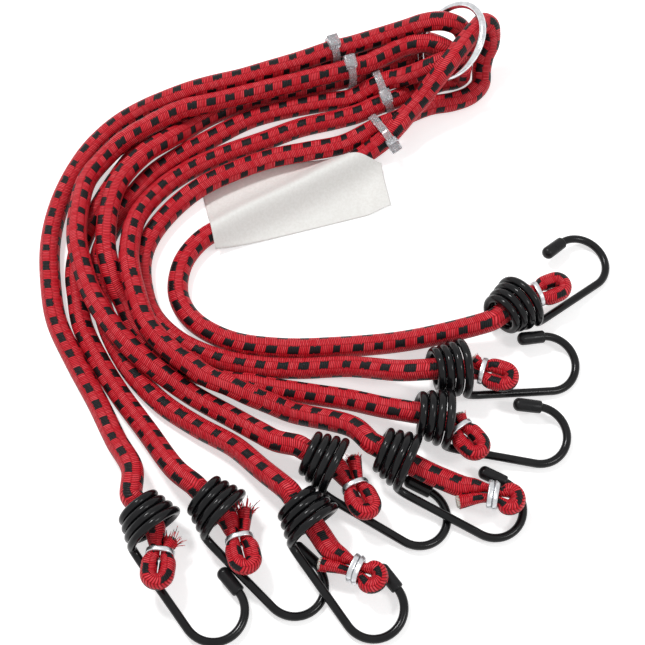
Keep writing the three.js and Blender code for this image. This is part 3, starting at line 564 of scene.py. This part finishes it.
def braidFinish():
    made = Finish("braid")
    place = made.value("ShaderNodeUVMap", {"uv_map": "run"})
    run = made.node("ShaderNodeSeparateXYZ", None, {0: place})
    along, around = Value(made, run.outputs[0]), Value(made, run.outputs[1])
    columns = around * braid["columns"]
    column = columns.floor()
    across = columns.part() - 0.5
    # Ribs lean one way in one column and the other way in the next
    oddness = (column * 0.5).part() * 2.0
    lean = across * (oddness * 2.0 - 1.0)
    ribs = along * braid["ribs"] + lean * braid["slant"]
    rib = ribs.floor()
    ribCrown = 1.0 - ((ribs.part() - 0.5) * 2.0).magnitude().raised(braid["ribPower"])
    sideFall = (across * 2.0).magnitude().raised(braid["sidePower"]) * braid["sideDepth"]
    crown = ribCrown * (1.0 - sideFall)
    cell = made.value("ShaderNodeCombineXYZ", None, {0: rib, 1: column})
    chance = made.value("ShaderNodeTexWhiteNoise", {"noise_dimensions": "2D"}, {"Vector": cell})
    # Staggered rows of marks made of whole ribs, each rib a little longer or shorter than the next
    rows = (around - braid["rowStart"]) * braid["markRows"]
    stagger = (rows.floor() * 0.5).part()
    fromMiddle = (rows.part() - 0.5).magnitude()
    markPlace = (((rib + 0.5) / braid["ribs"] + stagger).part() - 0.5).magnitude()
    isMarked = markPlace < chance * braid["markJitter"] + braid["markHalf"]
    isMarked = isMarked * (fromMiddle < chance * braid["rowJitter"] + braid["rowHalf"])
    patch = made.noise(place, *braid["patch"])
    # Painted shade: the red turns deep red where the relief's crown is low, in the grooves between ribs and
    # at each column's edges
    red = made.mix(crown.within(*braid["grooveShadeRange"]), (*braid["grooveShade"], 1), (*braid["red"], 1))
    # Painted highlight: pale red on the crowns of random ribs, in noise patches, for the thread's sheen
    shine = crown.within(*braid["highlightCrest"]) * chance.within(*braid["ribShine"])
    red = made.mix(shine * patch.within(*braid["patchShine"]), red, (*braid["pale"], 1))
    return made.surface(
        Base_Color=made.mix(isMarked, red, (*braid["black"], 1)),
        Roughness=braid["roughness"] - crown * braid["crownGloss"],
        Normal=made.bumped(crown + chance * braid["unevenness"], *braid["relief"]),
        Specular_IOR_Level=braid["specular"],
    )


def threadFinish():
    made = Finish("loose thread")
    tone = made.noise(made.objectPlace(), *threadLook["tone"])
    isBlack = tone > threadLook["blackAbove"]
    return made.surface(
        Base_Color=made.mix(isBlack, (*braid["red"], 1), (*braid["black"], 1)),
        Roughness=threadLook["roughness"], Specular_IOR_Level=threadLook["specular"],
    )


def paperFinish():
    made = Finish("tag paper")
    place = made.objectPlace()
    fibre = made.noise(place, *paperLook["fibre"])
    waves = made.noise(place, *paperLook["waves"])
    share = fibre.within(*paperLook["toneRange"])
    height = waves * paperLook["waveDepth"] + fibre * paperLook["fibreDepth"]
    return made.surface(
        Base_Color=made.mix(share, (*paperLook["dark"], 1), (*paperLook["pale"], 1)),
        Roughness=paperLook["roughness"], Normal=made.bumped(height, *paperLook["relief"]),
        Specular_IOR_Level=paperLook["specular"],
    )


# The other finishes: one noise varies tone and gloss, and it or a finer one makes the relief
glossRange = (0.3, 0.7)
steel = {"streaks": (420.0, 4.0, 0.6), "toneRange": (0.35, 0.7), "darker": 0.78, "relief": (0.00002, 0.4)}
coatLook = {
    "grain": (180.0, 3.0), "toneRange": (0.3, 0.7), "tones": ((0.004, 0.004, 0.005), (0.008, 0.008, 0.009)),
    "fine": (900.0, 2.0), "relief": (0.00002, 0.4), "roughness": (0.15, 0.22),
    "others": {"Specular_IOR_Level": 0.22},
}
capLook = {
    "grain": (240.0, 3.0), "tones": ((0.006, 0.006, 0.007), (0.013, 0.013, 0.014)),
    "fine": (1500.0, 2.0), "relief": (0.00003, 0.5), "roughness": (0.24, 0.36),
    "others": {"Specular_IOR_Level": 0.2},
}
rubberLook = {
    "grain": (1800.0, 3.0), "toneRange": (0.35, 0.65), "tones": ((0.42, 0.38, 0.33), (0.80, 0.77, 0.71)),
    "relief": (0.0002, 0.8), "roughness": 0.75,
}
tieLook = {
    "grain": (260.0, 3.0), "tones": ((0.74, 0.75, 0.78), (0.86, 0.87, 0.89)), "relief": (0.00006, 0.5),
    "roughness": (0.16, 0.3), "others": {"Transmission_Weight": 0.75, "IOR": 1.5},
}


def steelLook(base, roughness):
    # Plated steel with streaks a little darker than the plating
    streak = tuple(value * steel["darker"] for value in base)
    return {"grain": steel["streaks"], "toneRange": steel["toneRange"], "tones": (base, streak),
            "relief": steel["relief"], "roughness": roughness, "others": {"Metallic": 1.0}}


def grainFinish(name, look):
    made = Finish(name)
    place = made.objectPlace()
    grain = made.noise(place, *look["grain"])
    share = grain.within(*look["toneRange"]) if "toneRange" in look else grain
    first, second = look["tones"]
    height = made.noise(place, *look["fine"]) if "fine" in look else grain
    roughness = look["roughness"]
    if isinstance(roughness, tuple):
        roughness = grain.within(*glossRange, *roughness)
    return made.surface(
        Base_Color=made.mix(share, (*first, 1), (*second, 1)), Roughness=roughness,
        Normal=made.bumped(height, *look["relief"]), **look.get("others", {}),
    )


finishes = {
    "cord_braid": braidFinish(),
    "cord_thread": threadFinish(),
    "cord_core": grainFinish("latex", rubberLook),
    "hook_wire": grainFinish("black coat", coatLook),
    "cap_plastic": grainFinish("cap rubber", capLook),
    "crimp_wire": grainFinish("crimp steel", steelLook((0.66, 0.67, 0.69), (0.24, 0.42))),
    "ring_steel": grainFinish("ring steel", steelLook((0.74, 0.75, 0.77), (0.1, 0.24))),
    "tie_plastic": grainFinish("clear nylon", tieLook),
    "tag_paper": paperFinish(),
}
print("finishes made")


def wireTree():
    # A round wire along the edges of a mesh, swelling by the mesh's own attribute
    group = bpy.data.node_groups.new("wire along a path", "GeometryNodeTree")
    sockets = {
        "Path": "NodeSocketGeometry", "Wire Radius": "NodeSocketFloat", "Sides": "NodeSocketInt",
        "Finish": "NodeSocketMaterial",
    }
    for name, kind in sockets.items():
        group.interface.new_socket(name, in_out="INPUT", socket_type=kind)
    group.interface.new_socket("Wire", in_out="OUTPUT", socket_type="NodeSocketGeometry")
    made = Tree(group)
    given = made.node("NodeGroupInput")
    path, radius, sides, finish = (Value(made, given.outputs[name]) for name in sockets)
    curve = made.value("GeometryNodeMeshToCurve", None, {"Mesh": path})
    sizes = {"Resolution": sides, "Radius": radius}
    profile = made.value("GeometryNodeCurvePrimitiveCircle", {"mode": "RADIUS"}, sizes)
    swell = made.value("GeometryNodeInputNamedAttribute", {"data_type": "FLOAT"}, {"Name": "swell"})
    parts = {"Curve": curve, "Profile Curve": profile, "Scale": swell, "Fill Caps": True}
    wire = made.value("GeometryNodeCurveToMesh", None, parts)
    wire = made.value("GeometryNodeSetShadeSmooth", None, {"Geometry": wire})
    wire = made.value("GeometryNodeRealizeInstances", None, {"Geometry": wire})
    wire = made.value("GeometryNodeSetMaterial", None, {"Geometry": wire, "Material": finish})
    made.node("NodeGroupOutput", None, {"Wire": wire})
    return group


wireGroup = wireTree()


def grown(piece, group, inputs):
    # The result of a tree on a piece, as a plain mesh in its place
    modifier = piece.modifiers.new(group.name, "NODES")
    modifier.node_group = group
    for item in group.interface.items_tree:
        if item.in_out == "INPUT" and item.name in inputs:
            modifier[item.identifier] = inputs[item.name]
    seen = piece.evaluated_get(bpy.context.evaluated_depsgraph_get())
    result = bpy.data.meshes.new_from_object(seen)
    piece.modifiers.remove(modifier)
    name = piece.name
    bpy.data.objects.remove(piece)
    result.name = name
    return addPiece(name, result)


def chained(count, isLoop=False):
    return [(i, (i + 1) % count) for i in range(count if isLoop else count - 1)]


def wirePiece(name, points, edges, swell, wire, sides, finish):
    # A wire along the edges between points in the layout
    mesh = bpy.data.meshes.new(name)
    mesh.from_pydata(((np.asarray(points) + layoutShift) * mm).tolist(), edges, [])
    swells = mesh.attributes.new("swell", "FLOAT", "POINT")
    swells.data.foreach_set("value", np.asarray(swell, np.float32))
    inputs = {"Wire Radius": wire * mm / 2, "Sides": sides, "Finish": finish}
    return grown(linked(name, mesh), wireGroup, inputs)


# Cords: each arm with its folded end is one piece
lines = {number: cordLine(number) for number in routes}


def cordPiece(number):
    line, size, run = lines[number]
    isMirrored = number in [second for first, second in cordPairs]
    side = np.cross(line[1] - line[0], upright) * (-1 if isMirrored else 1)
    rings = sweep(line, side, circle(cord["sides"]))
    # Each ring is an oval that stands upright in the end's frame
    spokes = rings - line[:, None]
    along = tangentsOf(line)
    endUp = endMatrix(number)[0][:, 2]
    up = unit(endUp - along * (along @ endUp)[:, None])
    upShare = np.einsum("ijk,ik->ij", spokes, up)
    sideShare = np.sqrt(np.clip(1 - upShare**2, 0, 1))
    reach = 1 / np.sqrt((sideShare / size[:, :1]) ** 2 + (upShare / size[:, 1:]) ** 2)
    rings = line[:, None] + spokes * reach[..., None]
    turn = cord["markRow"][min(number, partnerOf(number))] / 360
    return skin(f"cord_{number}", rings, alongs=run / cord["pitch"], isMirrored=isMirrored, turn=turn)


def hookLine():
    steps = round(coil["turns"] * coil["stepsPerTurn"])
    share = np.linspace(0, 1, steps + 1)
    turn = math.pi - 2 * math.pi * coil["turns"] * (1 - share)
    radius = coil["narrow"] + (coil["wide"] - coil["narrow"]) * share
    wound = np.column_stack([-coil["length"] * (1 - share), radius * np.cos(turn), radius * np.sin(turn)])
    # The wire leaves the coil's wide end on a curve, runs straight, bends back and ends in a short leg
    side, drop = -coil["wide"], -coil["drop"]
    corners = np.array([
        wound[-1], (0, side, drop * coil["dropShare"]),
        (coil["runIn"] * coil["runInShare"], side, drop), (coil["runIn"], side, drop),
    ])
    t = np.linspace(0, 1, coil["runInSteps"] + 1)[1:, None]
    runIn = np.hstack([(1 - t) ** 3, 3 * t * (1 - t) ** 2, 3 * t**2 * (1 - t), t**3]) @ corners
    bendAt = coil["reach"] - coil["bend"]
    shank = np.linspace(corners[3], (bendAt, side, drop), coil["shankSteps"] + 1)[1:-1]
    angle = np.linspace(-math.pi / 2, math.pi / 2, coil["bendSteps"] + 1)
    bend = np.column_stack([
        bendAt + coil["bend"] * np.cos(angle), side + coil["bend"] * (1 + np.sin(angle)),
        np.full(len(angle), drop),
    ])
    tip = unit(np.array([-1, -coil["close"], 0]))
    leg = bend[-1] + tip * np.linspace(0, coil["leg"], coil["legSteps"] + 1)[1:, None]
    line = np.vstack([wound, runIn, shank, bend, leg])
    # The cut end of the wire at the coil's narrow turn is rounded off
    rounding = np.linspace(1, coil["noseLeast"], coil["noseSteps"])
    back = unit(wound[0] - wound[1])
    nose = wound[0] + back * (coil["wire"] / 2 * np.sqrt(1 - rounding**2))[:, None]
    line = np.vstack([nose[::-1], line[1:]])
    swell = np.concatenate([rounding[::-1], np.ones(len(line) - len(rounding))])
    return line, swell, tip


# Shares are of the cap's length and radius, the bore's gaps are beyond the wire
cap = {
    "diameter": 5.0, "length": 10.5, "dome": 2.1, "domeSteps": 10, "depth": 8.3, "lip": 0.35,
    "gap": 0.3, "sides": 40, "waist": 0.55, "waistShare": 0.985, "skirtShare": 0.96,
    "mouthShare": 0.94, "boreGap": 0.05, "mouthGap": 0.1, "chamfer": 0.25, "boreDepth": 1.5,
}
leastRadius = 0.02


def capProfile():
    length, radius, lip = cap["length"], cap["diameter"] / 2, cap["lip"]
    bore = coil["wire"] / 2 + cap["boreGap"]
    angles = np.linspace(0, math.pi / 2, cap["domeSteps"])
    return [
        *((cap["dome"] * (1 - math.cos(angle)), radius * math.sin(angle)) for angle in angles),
        (length * cap["waist"], radius * cap["waistShare"]),
        (length - lip * 2, radius * cap["skirtShare"]),
        (length - lip, radius * cap["mouthShare"]),
        (length, radius * cap["mouthShare"] - lip),
        (length, bore + cap["mouthGap"]),
        (length - cap["chamfer"], bore),
        (length - cap["boreDepth"], bore),
    ]


def lathe(name, profile, place, direction, sides):
    # A turned shape: how far along and how wide, from its closed tip to its closed end
    guide = unit(np.cross(direction, upright))
    spokes = circle(sides) @ np.array([guide, np.cross(direction, guide)])
    rings = [place + direction * x + spokes * max(wide, leastRadius) for x, wide in profile]
    return skin(name, np.array(rings))


def crimpLine(number):
    # The crimp's centre line in the end's frame, the way along the legs there, and whether it is one ring
    crimpAt = ends[number]["foldStart"] + fold["setback"]
    turns = crimp["turns"].get(number, 1)
    radius = fold["pinched"][1] + crimp["gap"] + crimp["wire"] / 2
    middle = fold["pinchSpacing"] + fold["pinched"][0] - fold["pinched"][1]
    lap = stadium(middle, radius, crimp["steps"])
    isLoop = turns == 1
    total = len(lap) if isLoop else len(lap) * turns + crimp["overlap"]
    rise = 0 if isLoop else crimp["pitch"] / len(lap)
    spots = [bent(number, (crimpAt + rise * i, *lap[i % len(lap)]), True) for i in range(total)]
    ahead = bent(number, (crimpAt + 1, 0, 0), True) - bent(number, (crimpAt, 0, 0), True)
    return np.array(spots), ahead, isLoop


# Loose threads of the cover round each cut: how many, and how long at most
fray = {
    1: (16, 0.9), 2: (16, 0.9), 3: (16, 1.0), 4: (14, 0.5),
    5: (22, 1.5), 6: (14, 0.8), 7: (46, 3.6), 8: (42, 3.2),
}
thread = {
    "wire": 0.42, "steps": 6, "sides": 6, "seed": 40, "jitter": 0.1, "leastShare": 0.35,
    "flare": 0.55, "lean": 0.2, "wander": 0.35, "root": 1.6, "inset": 0.25, "thinning": 0.55,
}


def threadPiece(number):
    line, size, run = lines[number]
    chance = np.random.default_rng(thread["seed"] + number)
    count, longest = fray[number]
    outward = unit(line[-1] - line[-4])
    guide = unit(np.cross(outward, upright))
    other = np.cross(outward, guide)
    ringRadius = size[-1].min() - thread["inset"]
    points, edges, swells = [], [], []
    angles = np.linspace(0, 2 * math.pi, count, endpoint=False)
    for angle in angles + chance.uniform(-thread["jitter"], thread["jitter"], count):
        spoke = guide * math.cos(angle) + other * math.sin(angle)
        length = longest * chance.uniform(thread["leastShare"], 1)
        aside = chance.normal(0, thread["wander"])
        lean = chance.normal(thread["lean"], thread["wander"])
        drift = np.cross(outward, spoke) * aside + spoke * (thread["flare"] + lean)
        for i, share in enumerate(np.linspace(0, 1, thread["steps"])):
            along = share * (length + thread["root"]) - thread["root"]
            spot = line[-1] + spoke * ringRadius + outward * along
            if i:
                edges.append((len(points) - 1, len(points)))
            points.append(spot + drift * length * share**2)
            swells.append(1 - thread["thinning"] * share)
    return wirePiece(f"threads_{number}", points, edges, swells, thread["wire"], thread["sides"],
                     finishes["cord_thread"])


# The core's bare end: how far inside the cut and how wide, as a share but for its tip
core = {
    "inset": 0.35, "tip": (-1.3, 0.3), "rows": ((-1.2, 0.75), (-0.9, 0.97), (-0.4, 1), (1.2, 1)),
    "sides": 28,
}


def corePiece(number):
    line, size, run = lines[number]
    wide = size[-1].min() - core["inset"]
    profile = [core["tip"], *((x, wide * share) for x, share in core["rows"])]
    return lathe(f"core_{number}", profile, line[-1], unit(line[-4] - line[-1]), core["sides"])


hookShape, hookSwell, tipDirection = hookLine()
capPlace = hookShape[-1] + tipDirection * (cap["gap"] + cap["length"] - cap["depth"])
for number in ends:
    endBody = f"end_{number}" if number in stretchedEnds else "harness"
    turn = endMatrix(number)[0]

    hook = wirePiece(f"hook_{number}", fromEnd(number, hookShape), chained(len(hookShape)), hookSwell,
                     coil["wire"], coil["sides"], finishes["hook_wire"])
    dress(hook, finishes["hook_wire"], f"hook_{number}")
    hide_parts(f"hook_wire_{number}")

    place = fromEnd(number, [capPlace])[0]
    tipCap = lathe(f"cap_{number}", capProfile(), place, turn @ -tipDirection, cap["sides"])
    dress(tipCap, finishes["cap_plastic"], f"hook_{number}")
    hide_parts(f"tip_cap_{number}")

    band, ahead, isLoop = crimpLine(number)
    rings = sweep(fromEnd(number, band), turn @ ahead, roundedBar(crimp), isLoop)
    closing = skin(f"crimp_ring_{number}", rings, isLoop)
    dress(closing, finishes["crimp_wire"], endBody)
    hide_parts(f"crimp_{number}")

    piece = cordPiece(number)
    dress(piece, finishes["cord_braid"])
    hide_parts(f"cord_arm_{number}", f"cord_end_{number}")

    rubber = corePiece(number)
    dress(rubber, finishes["cord_core"], endBody)
    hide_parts(f"rubber_core_{number}")

    threads = dress(threadPiece(number), finishes["cord_thread"], endBody)

    if number in followed:
        rule = followed[number]
        angle = math.radians(rule["heading"])
        heading = np.array([math.cos(angle), math.sin(angle), 0])
        low, high = ((heading * reach + layoutShift * (1, 1, 0)) * mm for reach in rule["reach"])
        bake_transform(piece)
    else:
        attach(piece, "harness")
    line, size, run = lines[number]
print("cords, hooks, caps and crimps made")

ring = {
    "radius": 16.0, "wire": 3.0, "tilt": 43, "lean": 9, "place": (28.1, 117.6, 21.2), "steps": 120,
    "sides": 20,
}


def ringLine():
    tilt, lean = math.radians(ring["tilt"]), math.radians(ring["lean"])
    across = np.array([math.cos(tilt), 0, math.sin(tilt)])
    away = np.array([0, math.cos(lean), math.sin(lean)])
    away = unit(away - across * across.dot(away))
    return np.array(ring["place"]) + circle(ring["steps"]) @ np.array([across, away]) * ring["radius"]


gathering = wirePiece("gathering_ring", ringLine(), chained(ring["steps"], True), np.ones(ring["steps"]),
                      ring["wire"], ring["sides"], finishes["ring_steel"])
dress(gathering, finishes["ring_steel"], "ring")
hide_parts("ring")

tie = {
    "width": 3.2, "thickness": 0.9, "gap": 0.6, "steps": 18, "edgePower": 6, "sectionSides": 24,
    "head": (3.8, 5.2, 4.6), "bevel": 0.55, "bevelSteps": 3, "bevelProfile": 0.6,
}
ties = (
    {"place": (-20.6, 119.2, 9), "around": (8, 7), "headSide": -1, "headTurn": 0},
    {"place": (-13.6, 109.2, 9), "around": (5, 3), "headSide": -1, "headTurn": 0},
    {"place": (1, 100, 7.5), "around": (6, 4), "headSide": 1, "headTurn": 100},
    {"place": (-0.5, 82.5, 7.5), "around": (2, 1), "headSide": 1, "headTurn": 0},
)


def nearestOn(number, place):
    line = lines[number][0]
    i = int(np.argmin(np.linalg.norm(line - place, axis=1)))
    return line[i], tangentsOf(line)[i]


def tiePiece(index, rule):
    (first, along), (second, other) = (nearestOn(k, np.array(rule["place"], float)) for k in rule["around"])
    along = unit(along + other * (1 if along.dot(other) > 0 else -1))
    across = second - first
    across = across - along * across.dot(along)
    half = np.linalg.norm(across) / 2
    across = unit(across)
    basis = np.column_stack([across, np.cross(along, across), along])
    middle = (first + second) / 2
    inner = cord["diameter"] / 2 + tie["gap"]
    loop = stadium(half, inner + tie["thickness"] / 2, tie["steps"]) @ basis[:, :2].T + middle
    band = skin(f"tie_{index}", sweep(loop, along, roundedBar(tie), True), True)
    head = bmesh.new()
    bmesh.ops.create_cube(head, size=1)
    bmesh.ops.scale(head, vec=tie["head"], verts=head.verts)
    bmesh.ops.bevel(head, geom=head.edges[:], offset=tie["bevel"], segments=tie["bevelSteps"],
                    profile=tie["bevelProfile"], affect="EDGES")
    angle = math.radians(rule["headTurn"] + (180 if rule["headSide"] < 0 else 0))
    spin = Matrix.Rotation(angle, 4, "Z")
    for vertex in head.verts:
        spot = spin @ (vertex.co + Vector((inner + tie["head"][0] / 2, 0, 0)))
        spot = np.array(spot) + (rule["headSide"] * half, 0, 0)
        vertex.co = (basis @ spot + middle + layoutShift) * mm
    # Band and head are one piece
    headMesh = bpy.data.meshes.new("head")
    head.to_mesh(headMesh)
    whole = bmesh.new()
    whole.from_mesh(band.data)
    whole.from_mesh(headMesh)
    whole.to_mesh(band.data)
    band.data.shade_smooth()
    head.free()
    whole.free()
    dress(band, finishes["tie_plastic"], "harness")
    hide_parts(f"cable_tie_{index}")


for index, rule in enumerate(ties, 1):
    tiePiece(index, rule)
print("ring and ties made")

tag = {
    "farLeft": (-74.5, 59.5), "farMiddle": (-36, 71.5), "farRight": (-0.9, 69),
    "nearLeft": (-67.1, 28.1), "nearRight": (2.5, 48.4), "thickness": 0.35, "rise": 0.25,
    "hump": 8.9, "humpWidth": 6.5, "curl": 3.5, "curlStart": 0.85, "lengthSteps": 120,
    "widthSteps": 44,
}


def tagPiece():
    lengths = np.linspace(0, 1, tag["lengthSteps"] + 1)
    widths = np.linspace(0, 1, tag["widthSteps"] + 1)
    far = splineThrough([tag[k] for k in ("farLeft", "farMiddle", "farRight")], tag["lengthSteps"] // 2)
    near = np.array(tag["nearLeft"]) + lengths[:, None] * np.subtract(tag["nearRight"], tag["nearLeft"])
    grid = near[:, None] + widths[None, :, None] * (far - near)[:, None]
    # It lies over cord 1, which lifts it, and its free corner curls up
    path = lines[1][0][:, :2]
    distance = np.array([np.linalg.norm(path - spot, axis=1).min() for spot in grid.reshape(-1, 2)])
    hump = tag["hump"] * np.exp(-((distance.reshape(grid.shape[:2]) / tag["humpWidth"]) ** 2))
    curl = np.clip((lengths - tag["curlStart"]) / (1 - tag["curlStart"]), 0, 1)
    curl = (curl**2 * (3 - 2 * curl))[:, None] * (1 - widths[None])
    lower = np.dstack([grid, tag["rise"] + hump + tag["curl"] * curl])
    # Round the sheet once for each step of its length: under it and back over it
    rings = np.concatenate([lower, (lower + (0, 0, tag["thickness"]))[:, ::-1]], 1)
    return skin("paper_tag", rings)


paper = dress(tagPiece(), finishes["tag_paper"], "harness")
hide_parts("tag")
print("tag made")

# The floor's width is in metres
room = {
    "floor": 4.0, "white": 0.88, "roughness": 0.8, "specular": 0.2, "glow": 0.55, "sky": 0.42,
}
lamps = {
    "key": {"place": (-0.35, 0.3, 0.9), "size": 0.16, "power": 5.0},
    "fill": {"place": (0.6, -0.3, 0.8), "size": 0.2, "power": 2.0},
}


def grey(level):
    return level, level, level, 1


def isSeen(tree):
    # One for rays that show the backdrop: straight from the camera, mirrored or through clear pieces
    ray = tree.node("ShaderNodeLightPath")
    kinds = ("Camera", "Glossy", "Transmission")
    camera, glossy, through = (Value(tree, ray.outputs[f"Is {kind} Ray"]) for kind in kinds)
    return camera.math("MAXIMUM", glossy).math("MAXIMUM", through)


floorMesh = bpy.data.meshes.new("floor")
half = room["floor"] / 2
floorMesh.from_pydata([(-half, -half, 0), (half, -half, 0), (half, half, 0), (-half, half, 0)], [],
                      [(0, 1, 2, 3)])
floor = linked("floor", floorMesh)
floorFinish = Finish("floor")
floorMesh.materials.append(floorFinish.surface(
    Base_Color=grey(room["white"]), Roughness=room["roughness"], Specular_IOR_Level=room["specular"],
    Emission_Color=floorFinish.mix(isSeen(floorFinish), grey(0), grey(1)), Emission_Strength=room["glow"],
))

world = bpy.data.worlds.new("room")
bpy.context.scene.world = world
world.use_nodes = True
sky = Tree(world.node_tree)
colour = sky.mix(isSeen(sky), grey(room["sky"]), grey(1))
backdrop = sky.value("ShaderNodeBackground", None, {"Color": colour, "Strength": 1.0})
sky.node("ShaderNodeOutputWorld", None, {"Surface": backdrop})

for name, rule in lamps.items():
    light = bpy.data.lights.new(name, "AREA")
    light.size = rule["size"]
    light.energy = rule["power"]
    holder = linked(name, light)
    holder.location = rule["place"]
    holder.rotation_euler = (-Vector(rule["place"])).to_track_quat("-Z", "Y").to_euler()

scene = bpy.context.scene
scene.view_settings.view_transform = "Standard"
print("stage and lamps made")
